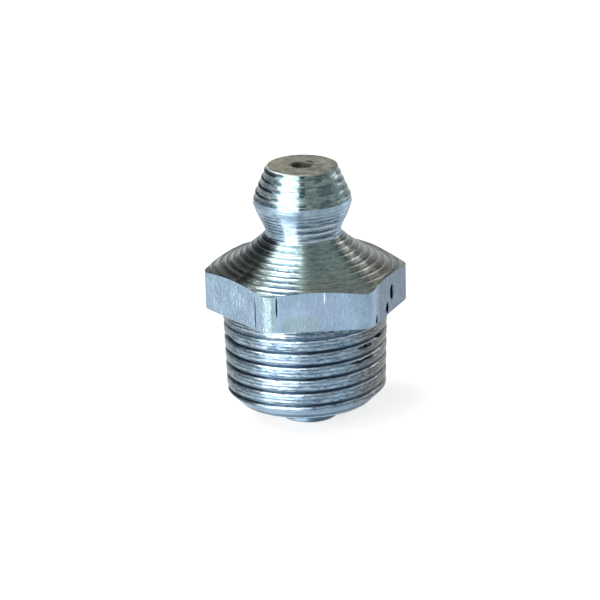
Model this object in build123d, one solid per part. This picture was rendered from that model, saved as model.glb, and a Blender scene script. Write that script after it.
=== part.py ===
from build123d import *
import math
import os

# Grease nipple with a tapered thread. Lengths in mm. The axis is Z, the coupler head is up,
# and Z = 0 is the underside of the hexagon. A flat of the hexagon faces -Y.

# Coupler head, from the inlet face down to the neck
inlet_face_diameter = 4.76
head_diameter = 6.5
head_cone_height = 2.1
head_band_height = 0.62
head_underside_height = 1.6
head_blend_radius = 1.8
head_blend_share = 0.9  # the most of the band that the blend may use up
neck_diameter = 5.12
neck_height = 0.36

# Flare from the neck out to the corners of the hexagon
flare_root_diameter = 5.2
flare_height = 2.55
flare_radius = 8.6

# Hexagon, left from the drawn bar, which the lathe gripped a little off its axis, towards +X
hexagon_across_flats = 12.0
hexagon_corner_radius = 1.0
hexagon_corner_height = 2.37
hexagon_offset = 0.1

# Threaded shank, as the envelope of its crests, and the boss that stands out of its end
shank_diameter = 10.92
shank_length = 6.67
shank_end_chamfer = 1.0
boss_diameter = 3.5
boss_length = 1.36
boss_corner_radius = 0.4

# Grease passage: inlet, ball seat, bore and the lip rolled in under the spring
inlet_diameter = 1.35
inlet_depth = 0.45
seat_half_angle = 40.0
bore_diameter = 2.4
lip_thickness = 0.4
lip_opening_diameter = 1.5

# Check ball and its spring
ball_diameter = 2.0
spring_mean_diameter = 1.7
spring_wire_diameter = 0.25
spring_turns = 10
spring_wire_sides = 8

# Clearances
seat_clearance = 0.03
ball_to_spring_clearance = 0.03
spring_to_lip_clearance = 0.01

# Places that follow from the sizes above
flare_foot_radius = hexagon_across_flats / math.sqrt(3) + hexagon_offset
neck_bottom = hexagon_corner_height + flare_height
neck_top = neck_bottom + neck_height
head_band_top = neck_top + head_underside_height + head_band_height
inlet_face = head_band_top + head_cone_height
shank_end = -shank_length
boss_end = shank_end - boss_length
lip_top = boss_end + lip_thickness
inlet_bottom = inlet_face - inlet_depth
seat_apex = inlet_bottom + inlet_diameter / 2 / math.tan(math.radians(seat_half_angle))
seat_bottom = seat_apex - bore_diameter / 2 / math.tan(math.radians(seat_half_angle))
ball_centre = seat_apex - (ball_diameter / 2 + seat_clearance) / math.sin(math.radians(seat_half_angle))


def turned_outside():
    """The solid that the lathe leaves: head, neck, flare, shank and boss, wider than the bar round the hexagon."""
    with BuildSketch(Plane.XZ) as section:
        with BuildLine():
            head = Polyline(
                (0, inlet_face),
                (inlet_face_diameter / 2, inlet_face),
                (head_diameter / 2, head_band_top),
                (head_diameter / 2, head_band_top - head_band_height),
                (neck_diameter / 2, neck_top),
                (neck_diameter / 2, neck_bottom),
                (flare_root_diameter / 2, neck_bottom),
            )
            flare_foot = (flare_foot_radius, hexagon_corner_height)
            RadiusArc(head @ 1, flare_foot, -flare_radius)
            Polyline(
                flare_foot,
                (flare_foot_radius, 0),
                (shank_diameter / 2, 0),
                (shank_diameter / 2, shank_end + shank_end_chamfer),
                (shank_diameter / 2 - shank_end_chamfer, shank_end),
                (boss_diameter / 2, shank_end),
                (boss_diameter / 2, boss_end),
                (0, boss_end),
                (0, inlet_face),
            )
        make_face()
        underside_angle = math.atan((head_diameter - neck_diameter) / 2 / head_underside_height)
        widest_blend = head_band_height / math.tan(underside_angle / 2)
        fillet(
            corner_at(section, head_diameter / 2, head_band_top - head_band_height),
            min(head_blend_radius, head_blend_share * widest_blend),
        )
        fillet(corner_at(section, boss_diameter / 2, boss_end), boss_corner_radius)
    return revolve(section.sketch, Axis.Z)


def corner_at(section, radius, height):
    """The corner of a half section that lies at this radius and height."""
    return section.vertices().sort_by_distance(Vector(radius, height))[0]


def grease_passage():
    """The space inside the body, from the inlet through the ball seat and the bore to the lip."""
    with BuildSketch(Plane.XZ) as section:
        with BuildLine():
            Polyline(
                (0, inlet_face),
                (inlet_diameter / 2, inlet_face),
                (inlet_diameter / 2, inlet_bottom),
                (bore_diameter / 2, seat_bottom),
                (bore_diameter / 2, lip_top),
                (lip_opening_diameter / 2, lip_top),
                (lip_opening_diameter / 2, boss_end),
                (0, boss_end),
                close=True,
            )
        make_face()
    return revolve(section.sketch, Axis.Z)


def nipple_body():
    """The one-piece body: hexagon bar, turned outside, with the grease passage through it."""
    bar_section = RegularPolygon(hexagon_across_flats / 2, 6, major_radius=False)
    bar_section = fillet(bar_section.vertices(), hexagon_corner_radius)
    bar = extrude(Plane.XY.offset(boss_end) * Pos(hexagon_offset, 0) * bar_section, inlet_face - boss_end)
    return (turned_outside() & bar) - grease_passage()


def check_ball():
    """The steel ball that closes the inlet, pressed up against its conical seat."""
    return Pos(0, 0, ball_centre) * Sphere(ball_diameter / 2)


def ball_spring():
    """The compression spring between the ball and the lip, with both ends ground flat. Its wire is many-sided."""
    spring_bore_radius = (spring_mean_diameter - spring_wire_diameter) / 2
    ball_drop = math.sqrt((ball_diameter / 2) ** 2 - spring_bore_radius**2)
    top = ball_centre - ball_drop - ball_to_spring_clearance
    bottom = lip_top + spring_to_lip_clearance
    length = top - bottom
    coil = Pos(0, 0, bottom) * Helix(length / spring_turns, length, spring_mean_diameter / 2)
    wire_section = RegularPolygon(spring_wire_diameter / 2, spring_wire_sides)
    wire = sweep(Plane(coil @ 0, z_dir=coil % 0) * wire_section, coil, is_frenet=True)
    ground_ends = Pos(0, 0, (top + bottom) / 2) * Cylinder(spring_mean_diameter, length)
    return wire & ground_ends


os.makedirs("parts", exist_ok=True)
export_step(nipple_body(), "parts/nipple_body.step")
export_step(check_ball(), "parts/check_ball.step")
export_step(ball_spring(), "parts/ball_spring.step")
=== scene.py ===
import math
from types import SimpleNamespace

import bmesh
import bpy
from bpy.props import FloatProperty, FloatVectorProperty, IntProperty, PointerProperty
from mathutils import Matrix, Vector, noise


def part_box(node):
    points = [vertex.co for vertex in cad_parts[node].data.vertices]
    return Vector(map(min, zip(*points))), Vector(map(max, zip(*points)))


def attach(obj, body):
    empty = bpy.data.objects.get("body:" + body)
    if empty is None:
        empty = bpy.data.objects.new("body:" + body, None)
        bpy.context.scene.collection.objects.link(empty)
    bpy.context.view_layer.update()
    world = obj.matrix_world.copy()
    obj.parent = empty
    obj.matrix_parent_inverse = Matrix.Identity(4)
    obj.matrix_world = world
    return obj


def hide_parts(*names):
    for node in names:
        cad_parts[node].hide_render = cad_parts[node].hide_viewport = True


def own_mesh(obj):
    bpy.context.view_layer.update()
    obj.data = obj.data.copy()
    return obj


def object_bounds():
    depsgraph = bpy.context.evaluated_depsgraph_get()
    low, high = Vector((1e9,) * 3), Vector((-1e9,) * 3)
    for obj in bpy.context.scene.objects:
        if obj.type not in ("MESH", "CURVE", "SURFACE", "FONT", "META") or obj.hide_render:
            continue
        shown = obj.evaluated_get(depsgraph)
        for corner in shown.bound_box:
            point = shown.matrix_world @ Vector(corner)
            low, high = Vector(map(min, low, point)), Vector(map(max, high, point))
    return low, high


bl_info = {
    "name": "Grease Nipple",
    "version": (1, 0, 0),
    "blender": (4, 5, 0),
    "location": "View3D > Sidebar > Nipple",
    "description": "Models a zinc-plated grease nipple round its CAD frame, with its stage",
    "category": "Object",
}

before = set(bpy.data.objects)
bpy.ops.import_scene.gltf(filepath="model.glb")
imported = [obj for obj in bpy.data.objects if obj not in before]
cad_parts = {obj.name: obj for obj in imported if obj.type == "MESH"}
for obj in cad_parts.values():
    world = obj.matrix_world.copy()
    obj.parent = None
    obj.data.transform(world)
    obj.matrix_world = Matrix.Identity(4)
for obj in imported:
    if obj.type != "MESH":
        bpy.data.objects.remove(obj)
CAD_LOW, CAD_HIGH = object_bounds()
MM = 0.001

# The body's heights and radii in millimetres, as the CAD frame has them
INLET_FACE = CAD_HIGH.z / MM
BOSS_END = CAD_LOW.z / MM
ACROSS_FLATS = 2 * CAD_HIGH.y / MM
BAR_OFFSET = (CAD_HIGH.x + CAD_LOW.x) / 2 / MM
HEAD_TOP_RADIUS = 2.38
HEAD_RADIUS = 3.25
HEAD_BAND_TOP = 7.5
NECK_TOP = 5.28
NECK_RADIUS = 2.56
FLARE_TOP = 4.92
FLARE_ROOT_RADIUS = 2.6
FLARE_FOOT = 2.37
FLARE_FOOT_RADIUS = ACROSS_FLATS / math.sqrt(3) + BAR_OFFSET
FLARE_RADIUS = 8.6
SHANK_END = -6.67
SHANK_END_RADIUS = 4.46
BOSS_RADIUS = 2.0
BOSS_CORNER = 0.3
BORE_RADIUS = 1.2
INLET_RADIUS = 0.675
INLET_BOTTOM = 9.15
SEAT_BOTTOM = 8.52
LIP_TOP = -7.63
LIP_RADIUS = 0.75

# Finer forms of the body, in mm
THREAD_TOP = -0.3
THREAD_FADE = -1.6  # the groove runs out between here and the thread's top
THREAD_END = SHANK_END + 0.03
THREAD_HALF_ANGLE = math.radians(30)
SPUN_CREST = 5.0  # crest radius that the thread is spun at, before it is laid on the taper
CREST_ROUNDING = 0.03
CHAMFER_OFFSET = -0.07
BOSS_OFFSET = 0.15
BOSS_SHIFTED = BOSS_RADIUS - 0.1  # from here out the boss has its full offset
BARREL_BULGE = 0.07
FACE_EDGE = 0.08
INLET_EDGE = 0.06
BROKEN_EDGE = 0.05
FLARE_MARK_DEPTH = 0.055
FLARE_LEDGE = 0.3  # share of the feed over which a tool mark comes back
FLARE_RUN_IN = 0.2
HEAD_MARK_DEPTH = 0.085
HEAD_LEDGE = 0.18
HEAD_RUN_IN = 0.15
EVEN_FADE = (math.cos(math.radians(36)), math.cos(math.radians(18)))
CRACK_DEPTH = 0.25
SAME_FLAT = 0.8  # cosine of the angle within which a point counts as on a flat
BAR_START = 5.6  # radius outside which the foot has the bar's form
FRONT_TILT = math.tan(math.radians(1.26))
BACK_TILT = math.tan(math.radians(0.7))

# Steps of the body's mesh, and the distances within which points of it meet
WALL_STEPS = 20
FLARE_STEPS = 96
CONE_STEPS = 56
BARREL_STEPS = 40
BOSS_CORNER_STEPS = 6
CREST_STEPS = 10
NEAR = 0.01
TOUCHING = 1e-4
MERGED = 0.002
SHARP_EDGE = math.radians(28)

# Where the body's finishes meet
ZONES = ("bar", "turned", "head", "thread", "face", "passage")
CONE_END = HEAD_BAND_TOP - 0.03
NECK_END = FLARE_TOP - 0.02
FLARE_FACING = 0.3  # the flare's faces look up at least this much
FLARE_PLAY = 0.5  # how far the hexagon's leaning edge may lie under the even flare
FOOT_START = 0.005
FOOT_PLAY = -0.25  # how far the foot's leaning underside may reach down

# Cracks in the flats: bearing of the flat, place along it, height, half width, half height
CRACKS = (
    (-30, 0.47, 1.23, 0.24, 0.46),
    (-30, -0.35, 0.38, 0.17, 0.34),
    (-30, -2.25, 0.15, 0.10, 0.35),
    (-150, 2.40, 1.1, 0.05, 1.0),
    (-90, -2.62, 1.85, 0.05, 0.65),
)

# Crests torn by the die: bearing, height, half width in degrees, half height, depth
TORN_CRESTS = (
    (-51, -1.90, 7, 0.13, 0.10),
    (-33, -1.68, 5, 0.06, 0.08),
    (-58, -2.87, 7, 0.09, 0.08),
    (-48, -2.80, 6, 0.08, 0.06),
    (-165, -1.70, 7, 0.10, 0.10),
)

# The spring's mesh and wire
WIRE_SIDES = 12
STEPS_PER_TURN = 36
WIRE_COLOURS = ((0.22, 0.22, 0.23), (0.5, 0.5, 0.52))

# The studio: strengths of its light, with angles in degrees from the camera's bearing and from level
FLOOR_SIZE = 3.0
FLOOR_GLOW = 0.74
PAPER_COLOURS = ((0.29, 0.29, 0.29), (0.31, 0.31, 0.31))
SKY_HORIZON = 1.0
SKY_ABOVE = 0.5
SKY_FADE = (6, 18)
CURTAIN_PLACE = (-130, 22)
CURTAIN_FADE = (50, 65)
CURTAIN_LIGHT = 0.08
SENSOR_WIDTH = 36.0
CLIP_RANGE = (0.01, 10.0)
AIM_HEIGHT = 1.558
AIM_SHIFT = (-0.287, -1.370)  # right and up in the picture, in mm

# Soft lamps: bearing from the camera, elevation, distance, width, height, power
LAMPS = {
    "window_low": (-38, 14, 0.22, 0.21, 0.12, 0.85),
    "window_high": (-70, 64, 0.22, 0.18, 0.14, 0.85),
    "side_glow": (125, 29, 0.25, 0.018, 0.10, 0.08),
}


def lerp(a, b, t):
    return a + (b - a) * t


def clamp(x, low=0.0, high=1.0):
    return max(low, min(high, x))


def smooth(low, high, x):
    """Runs softly from 0 at low to 1 at high, which may be the lower of the two."""
    t = clamp((x - low) / (high - low))
    return t * t * (3 - 2 * t)


# ---------------- settings


def length_property(name, description, default):
    """A length that is given in mm and kept in metres."""
    return FloatProperty(name=name, description=description, default=default * MM, unit="LENGTH", precision=6)


def angle_property(name, description, default):
    """An angle that is given in degrees and kept in radians."""
    return FloatProperty(name=name, description=description, default=math.radians(default), subtype="ANGLE")


def colour_property(name, description, *colour):
    return FloatVectorProperty(name=name, description=description, subtype="COLOR", default=colour)


class NippleSizes(bpy.types.PropertyGroup):
    columns: IntProperty(name="Columns", description="Mesh columns round the axis", default=240, min=48)
    corner_radius: length_property("Corner radius", "Rounding of the drawn bar's corners", 1.01)
    thread_pitch: length_property("Thread pitch", "Rise of one turn", 0.94)
    crest_width: length_property("Crest width", "Flat left on the crests", 0.62)
    root_width: length_property("Root width", "Width of the groove's bottom", 0.06)
    crest_radius: length_property("Crest radius", "Crest radius at the hexagon's underside", 5.54)
    taper: FloatProperty(name="Taper", description="Gain in radius for each unit of height", default=1 / 32)
    groove_start: FloatProperty(
        name="Groove start", description="Share of the pitch at which the groove crosses +X", default=0.42
    )
    head_feed: length_property("Head feed", "Spacing of the tool marks on the head", 0.49)
    neck_feed: length_property("Neck feed", "Spacing of the tool marks under the head", 0.25)
    flare_feed: length_property("Flare feed", "Spacing of the rings at the flare's neck", 0.33)
    feed_gain: FloatProperty(
        name="Feed gain", description="Widening of the rings for each unit of radius", default=0.055
    )
    spring_turns: IntProperty(name="Spring turns", description="Turns of the coil", default=10, min=3)
    spring_radius: length_property("Spring radius", "Mean radius of the spring", 0.85)
    wire_radius: length_property("Wire radius", "Radius of the spring's wire", 0.125)


def in_mm(sizes):
    """The sizes as plain numbers, with every length in mm, as the body is modelled."""
    plain = SimpleNamespace()
    for name in NippleSizes.__annotations__:
        value = getattr(sizes, name)
        is_length = sizes.bl_rna.properties[name].unit == "LENGTH"
        setattr(plain, name, value / MM if is_length else value)
    return plain


class NippleColours(bpy.types.PropertyGroup):
    bar: colour_property("Bar flats", "Plate on the drawn flats", 0.275, 0.395, 0.515)
    bloom: colour_property("Bloom", "Lilac bloom on the flats", 0.295, 0.365, 0.53)
    turned: colour_property("Turned cones", "Plate on the flare and the head's cone", 0.255, 0.355, 0.335)
    head: colour_property("Head", "Plate on the head's underside and the neck", 0.33, 0.46, 0.58)
    thread: colour_property("Thread", "Plate on the threaded shank", 0.19, 0.30, 0.405)
    face: colour_property("Inlet face", "Matt end face of the head", 0.19, 0.203, 0.172)
    tarnish: colour_property("Tarnish", "Brown bloom on the plate", 0.38, 0.335, 0.21)
    # Shade is painted shade in grooves, marks, cracks and chips and on darker sides, and also the dark of
    # grain and grit
    shade: colour_property("Shade", "Dark plate in the bottoms of grooves and marks", 0.015, 0.035, 0.06)
    # Glint is a painted highlight on lit sides, tool-mark lips, thread flanks, the collar and the rim, and
    # also the bright plate of scratches, nicks and grit
    glint: colour_property("Glint", "Bright plate on scratches and rubbed edges", 0.80, 0.88, 0.92)
    # Grease is also laid as a painted shade low on the flare's shaded side
    grease: colour_property("Grease", "Old grease in the inlet", 0.05, 0.045, 0.025)


class StageSettings(bpy.types.PropertyGroup):
    azimuth: angle_property("Azimuth", "Camera's bearing", -7.0)
    elevation: angle_property("Elevation", "Camera's height above level", 19.44)
    roll: angle_property("Roll", "Turn of the part in the picture", 1.364)
    distance: FloatProperty(name="Distance", description="Camera to the part", default=0.2476, unit="LENGTH")
    lens: FloatProperty(name="Lens", description="Focal length", default=222.0, unit="CAMERA")


# ---------------- nodes


def shaded(colour, share):
    """The same hue, darker or lighter."""
    return [c * share for c in colour]


class Nodes:
    """Short calls that add nodes to a tree, join them and give back a socket."""

    def __init__(self, tree):
        self.tree = tree

    def put(self, value, socket):
        """Joins a socket to this one, or writes a plain value on it."""
        if isinstance(value, bpy.types.NodeSocket):
            self.tree.links.new(value, socket)
        elif socket.type == "RGBA":
            socket.default_value = (*tuple(value)[:3], 1)
        else:
            socket.default_value = value

    def node(self, kind, inputs, **settings):
        node = self.tree.nodes.new(kind)
        for key, value in settings.items():
            setattr(node, key, value)
        for key, value in inputs.items():
            self.put(value, node.inputs[key])
        return node

    def math(self, operation, *values):
        return self.node("ShaderNodeMath", dict(enumerate(values)), operation=operation).outputs[0]

    def both(self, *values):
        """The product of the values."""
        product = values[0]
        for value in values[1:]:
            product = self.math("MULTIPLY", product, value)
        return product

    def inverse(self, share):
        return self.math("SUBTRACT", 1.0, share)

    def lerp(self, start, end, share):
        return self.math("MULTIPLY_ADD", share, self.math("SUBTRACT", end, start), start)

    def sum_of_squares(self, a, b):
        return self.math("ADD", self.both(a, a), self.both(b, b))

    def band(self, value, low, high, start=0.0, end=1.0):
        """Runs softly from start at low to end at high."""
        if low > high:
            low, high, start, end = high, low, end, start
        inputs = {"Value": value, "From Min": low, "From Max": high, "To Min": start, "To Max": end}
        return self.node("ShaderNodeMapRange", inputs, interpolation_type="SMOOTHSTEP").outputs["Result"]

    def stripe(self, phase, start, full, fade, end):
        """Rises from start to full and falls from fade to end."""
        return self.both(self.band(phase, start, full), self.band(phase, end, fade))

    def vector(self, x, y, z):
        return self.node("ShaderNodeCombineXYZ", {"X": x, "Y": y, "Z": z}).outputs[0]

    def stretch(self, vector, x, y, z):
        return self.node("ShaderNodeVectorMath", {0: vector, 1: (x, y, z)}, operation="MULTIPLY").outputs[0]

    def noise(self, vector, scale, detail=2.0, roughness=0.5):
        inputs = {"Vector": vector, "Scale": scale, "Detail": detail, "Roughness": roughness}
        return self.node("ShaderNodeTexNoise", inputs).outputs["Fac"]

    def mix(self, factor, first, second):
        node = self.node("ShaderNodeMix", {"Factor": factor}, data_type="RGBA")
        self.put(first, node.inputs[6])
        self.put(second, node.inputs[7])
        return node.outputs[2]


class Finish(Nodes):
    """A material in the making: colours laid over each other by patterns. Lengths are in mm."""

    def __init__(self, name, roughness=0.5, metallic=1.0):
        self.material = bpy.data.materials.new(name)
        self.material.use_nodes = True
        super().__init__(self.material.node_tree)
        self.shader = self.tree.nodes["Principled BSDF"]
        self.shader.inputs["Metallic"].default_value = metallic
        self.shader.inputs["Roughness"].default_value = roughness
        self.colour = None
        self.place = self.stretch(self.node("ShaderNodeTexCoord", {}).outputs["Object"], 1000, 1000, 1000)
        self.x, self.y, self.z = self.node("ShaderNodeSeparateXYZ", {0: self.place}).outputs
        self.radius = self.math("SQRT", self.sum_of_squares(self.x, self.y))
        self.turn = self.math("DIVIDE", self.math("ARCTAN2", self.y, self.x), 2 * math.pi)

    def grain(self, scale, detail=2, roughness=0.5):
        """Noise on the piece. Three numbers for a scale stretch it along an axis."""
        if isinstance(scale, tuple):
            return self.noise(self.stretch(self.place, *scale), 1, detail, roughness)
        return self.noise(self.place, scale, detail, roughness)

    def ring_grain(self, track, across, along, detail=2, roughness=0.5):
        """Noise that changes with the track and is drawn out round the axis."""
        place = self.vector(self.both(track, across), self.both(self.x, along), self.both(self.y, along))
        return self.noise(place, 1, detail, roughness)

    def scratches(self, scale, width):
        """Thin curved lines, where a soft pattern passes its middle."""
        level = self.grain(scale, 1)
        return self.band(self.math("ABSOLUTE", self.math("SUBTRACT", level, 0.5)), width, width / 4)

    def towards(self, bearing):
        """How far out the surface lies in this direction."""
        a = math.radians(bearing)
        return self.math("ADD", self.both(self.x, math.cos(a)), self.both(self.y, math.sin(a)))

    def sector(self, bearing, half_width, edge):
        """1 within half_width degrees of a bearing round the axis, fading to 0 over the edge."""
        cosine = self.math("DIVIDE", self.towards(bearing), self.radius)
        far, near = math.cos(math.radians(half_width + edge)), math.cos(math.radians(half_width))
        return self.band(cosine, far, near)

    def spot(self, across, height, centre, size, soft=0.5):
        """1 inside an ellipse on the surface, 0 outside it."""
        u = self.math("DIVIDE", self.math("SUBTRACT", across, centre[0]), size[0])
        v = self.math("DIVIDE", self.math("SUBTRACT", height, centre[1]), size[1])
        return self.band(self.sum_of_squares(u, v), 1 + soft, 1 - soft)

    def lay(self, colour, *shares):
        """Lays a colour over the one so far, by the product of the shares."""
        self.colour = self.mix(self.both(*shares), self.colour, colour)

    def dull(self, share, metallic=1.0):
        """Takes metal and gloss away where a crack or a chip is open."""
        self.put(self.both(self.inverse(share), metallic), self.shader.inputs["Metallic"])
        self.put(self.lerp(0.5, 0.0, share), self.shader.inputs["Specular IOR Level"])

    def brushed(self, amount):
        """Spreads the gloss across tool marks that run round the axis."""
        self.put(self.vector(self.both(self.y, -1.0), self.x, 0.0), self.shader.inputs["Tangent"])
        self.shader.inputs["Anisotropic"].default_value = amount
        self.shader.inputs["Anisotropic Rotation"].default_value = 0.25

    def bump(self, height, depth, under=None):
        """Raises the surface by the height, whose 1 stands for the depth in mm."""
        inputs = {"Height": height, "Distance": depth * MM, "Strength": 1.0}
        if under is not None:
            inputs["Normal"] = under
        return self.node("ShaderNodeBump", inputs).outputs[0]

    def finish(self, normal=None, roughness=None):
        self.put(self.colour, self.shader.inputs["Base Color"])
        if roughness is not None:
            self.put(roughness, self.shader.inputs["Roughness"])
        if normal is not None:
            self.put(normal, self.shader.inputs["Normal"])
        return self.material


# ---------------- finishes

# Sides of the nipple: bearing, half width and soft edge, in degrees
LIT_CONE = (-115, 10, 5)
LIT_BARREL = (-115, 9, 5)
LIT_NECK = (-115, 8, 2)
LIT_THREAD = (-115, 9, 7)
LIT_COLLAR = (-118, 3, 5)
LIT_RIM = (-160, 22, 25)
SHADED_BARREL = (-115, 14, 8)
EVEN_CONE = (-70, 24, 9)
SHADED_CONE = (-165, 26, 12)
DARK_CONE = (-20, 20, 20)
CHATTERED_CONE = (-97, 2.5, 2.5)
SMEARED_CONE = (-65, 6, 10)
WORN_CONE = (-40, 5, 6)
GLANCING_FLARE = (-41, 5, 14)
STAINED_FLARE = (-26, 6, 22)
DARK_FLARE = (-16, 12, 14)
DIMMED_FLARE = (-137, 8, 5)
SHADED_FOOT = (-143, 19, 4)
LIT_FOOT = (-110, 8, 3)
MARKED_NECK = (-78, 20, 22)
SCUFFED_FLAT = (-150, 30, 6)
SHADOWED_FLAT = (-22, 22, 10)
DIMMED_FLAT = (-70, 8, 16)
BRIGHT_CORNER = (-120, 10, 5)
DULL_THREAD = (-20, 24, 30)
OLIVE_THREAD = (-15, 14, 28)
MOSSY_THREAD = (-160, 20, 14)
CALM_THREAD = (-72, 22, 12)
PALE_GROOVES = (-155, 25, 15)
DARK_BOSS = (-62, 17, 22)
BROWN_FACE = (170, 40, 40)

# Spots: centre and half width and height, in mm
DULLED_SPOT = ((-1.1, 0.3), (1.3, 1.0))
NICK = ((0.55, 2.3), (0.05, 0.4))
GREASE_SPOT = ((0.5, 0.4), (0.7, 0.35))
PALE_SPOT = ((1.2, 0.3), (0.42, 0.4))

CORNER_REACH = (6.64, 6.68)  # how far out the bar's rounded corners lie
PIT_MARGIN = 1.12  # the dark of a crack is this much wider than its cut
GROOVE_EDGE = 0.11  # share of the pitch from the groove's bottom to its dark upper edge
WANDER = 0.06  # share of the pitch that the thread's lines stray by
RIDGES = 3.8  # ridges on one pitch


def bar_corner(coat):
    """1 on the rounded corner that faces the light."""
    off_axis = coat.math("SUBTRACT", coat.x, BAR_OFFSET)
    from_bar_axis = coat.math("SQRT", coat.sum_of_squares(off_axis, coat.y))
    return coat.both(coat.band(from_bar_axis, *CORNER_REACH), coat.sector(*BRIGHT_CORNER))


def open_cracks(coat):
    """1 in the cracks of the flats."""
    pits = 0.0
    for bearing, along, height, half_width, half_height in CRACKS:
        size = (half_width * PIT_MARGIN, half_height * PIT_MARGIN)
        spot = coat.spot(coat.towards(bearing + 90), coat.z, (along, height), size, 0.2)
        on_flat = coat.math("GREATER_THAN", coat.towards(bearing), 5.5)
        pits = coat.math("ADD", pits, coat.both(spot, on_flat))
    return coat.math("MINIMUM", pits, 1.0)


def bar_finish(colours):
    """Plate on the drawn flats, grained along the bar."""
    coat = Finish("drawn_bar_plate")
    x, y, z = coat.x, coat.y, coat.z
    cloud = coat.band(coat.grain(0.9, 3), 0.3, 0.7)
    coat.colour = coat.mix(cloud, shaded(colours.bar, 0.88), shaded(colours.bar, 1.12))
    coat.lay(colours.bloom, coat.band(coat.grain((0.55, 0.55, 0.4)), 0.48, 0.66, 0.0, 0.5))
    dulled = coat.both(coat.spot(x, z, *DULLED_SPOT, 0.8), coat.math("LESS_THAN", y, -4.0))
    dulled = coat.both(coat.grain(1.1, 3), dulled)
    coat.lay(shaded(colours.turned, 0.95), coat.band(dulled, 0.15, 0.6), 0.5)
    coat.lay(colours.shade, coat.sector(*SHADOWED_FLAT), 0.6)
    corner = bar_corner(coat)
    drawn_out = coat.band(coat.grain((5, 5, 0.4)), 0.4, 0.6, 0.35, 0.8)
    coat.lay(shaded(colours.turned, 0.85), corner, drawn_out)
    coat.lay(colours.shade, coat.sector(*DIMMED_FLAT), 0.14)

    # grain along the bar, and the scratches and nicks of handling
    scuffed = coat.sector(*SCUFFED_FLAT)
    grain = coat.grain((8, 8, 5), 3, 0.7)
    drawn = coat.grain((7, 7, 1.2), 3, 0.6)
    coat.lay(colours.shade, coat.band(grain, 0.46, 0.3, 0, 0.35))
    coat.lay(colours.glint, coat.band(drawn, 0.56, 0.68), coat.lerp(0.22, 0.5, scuffed))
    hairs = coat.both(coat.scratches((2.6, 2.6, 1.1), 0.035), coat.band(grain, 0.5, 0.6))
    coat.lay(colours.glint, hairs, coat.lerp(0.1, 0.7, scuffed), coat.inverse(corner))
    coat.lay(colours.glint, coat.spot(x, z, *NICK), coat.math("LESS_THAN", y, -5.5), 0.8)
    nicked = coat.both(coat.band(coat.grain(6), 0.64, 0.7), coat.band(z, 0.9, 0.1))
    coat.lay(colours.glint, nicked, scuffed, 0.8)

    pits = open_cracks(coat)
    # painted shade in the cracks, a little wider than their cut, with metal and gloss taken away
    coat.lay(shaded(colours.shade, 0.3), pits)
    coat.dull(pits)
    coat.brushed(0.8)
    normal = coat.bump(coat.math("ADD", drawn, grain), 0.02)
    normal = coat.bump(coat.inverse(pits), 0.1, normal)
    gloss = coat.lerp(coat.band(drawn, 0.3, 0.7, 0.38, 0.48), 0.27, corner)
    return coat.finish(normal, coat.lerp(gloss, 1.0, pits))


class TurnedFinish(Finish):
    """Plate on the head's cone and the flare, with the patterns that its layers share."""

    def __init__(self, colours, sizes):
        super().__init__("turned_cone_plate", 0.36)
        self.on_flare = self.math("LESS_THAN", self.z, FLARE_TOP + 1)
        self.on_head = self.inverse(self.on_flare)
        self.lit = self.sector(*LIT_CONE)
        self.even = self.sector(*EVEN_CONE)
        self.sooty = self.sector(*SHADED_CONE)
        self.glancing = self.both(self.sector(*GLANCING_FLARE), self.on_flare)
        self.cloud = self.grain(0.6, 3)
        self.uneven = self.grain((0.8, 0.8, 2.5))
        lines, rings = self.grain((0.25, 0.25, 9), 2, 0.6), self.ring_grain(self.radius, 9.0, 0.12, 2, 0.6)
        self.marks = self.lerp(lines, rings, self.on_flare)
        # grit, drawn out along the tool's way
        lines, rings = self.grain((2.0, 2.0, 8.0), 3, 0.7), self.ring_grain(self.radius, 8.0, 2.0, 3, 0.7)
        self.grit = self.lerp(lines, rings, self.on_flare)
        self.phase = self.tool_phase(sizes)
        base = self.band(self.cloud, 0.35, 0.7)
        self.colour = self.mix(base, shaded(colours.turned, 0.9), shaded(colours.turned, 1.1))

    def tool_phase(self, sizes):
        """Share of a feed from one tool mark to the next, on the cone or on the flare."""
        from_neck = self.math("MAXIMUM", self.math("SUBTRACT", self.radius, FLARE_ROOT_RADIUS), 0.0)
        widening = self.math("MULTIPLY_ADD", from_neck, sizes.feed_gain / sizes.flare_feed, 1.0)
        flare_way = self.math("DIVIDE", self.math("LOGARITHM", widening, math.e), sizes.feed_gain)
        head_way = self.math("DIVIDE", self.math("SUBTRACT", INLET_FACE, self.z), sizes.head_feed)
        way = self.math("MULTIPLY_ADD", self.grain(2.4), 0.14, self.lerp(head_way, flare_way, self.on_flare))
        return self.math("FRACT", self.math("SUBTRACT", way, self.math("ADD", self.turn, 0.07)))


def tint_cone(coat, colours):
    """Painted shade on the head's cone, deeper on its dark and shaded sides, and a bluer tint on its shaded
    side.
    """
    coat.lay(colours.shade, coat.on_head, 0.25)
    coat.lay(colours.shade, coat.on_head, coat.sector(*DARK_CONE), 0.25)
    coat.lay(colours.shade, coat.on_head, coat.sooty, 0.22)
    coat.lay(colours.bar, coat.on_head, coat.sooty, 0.3)


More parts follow.
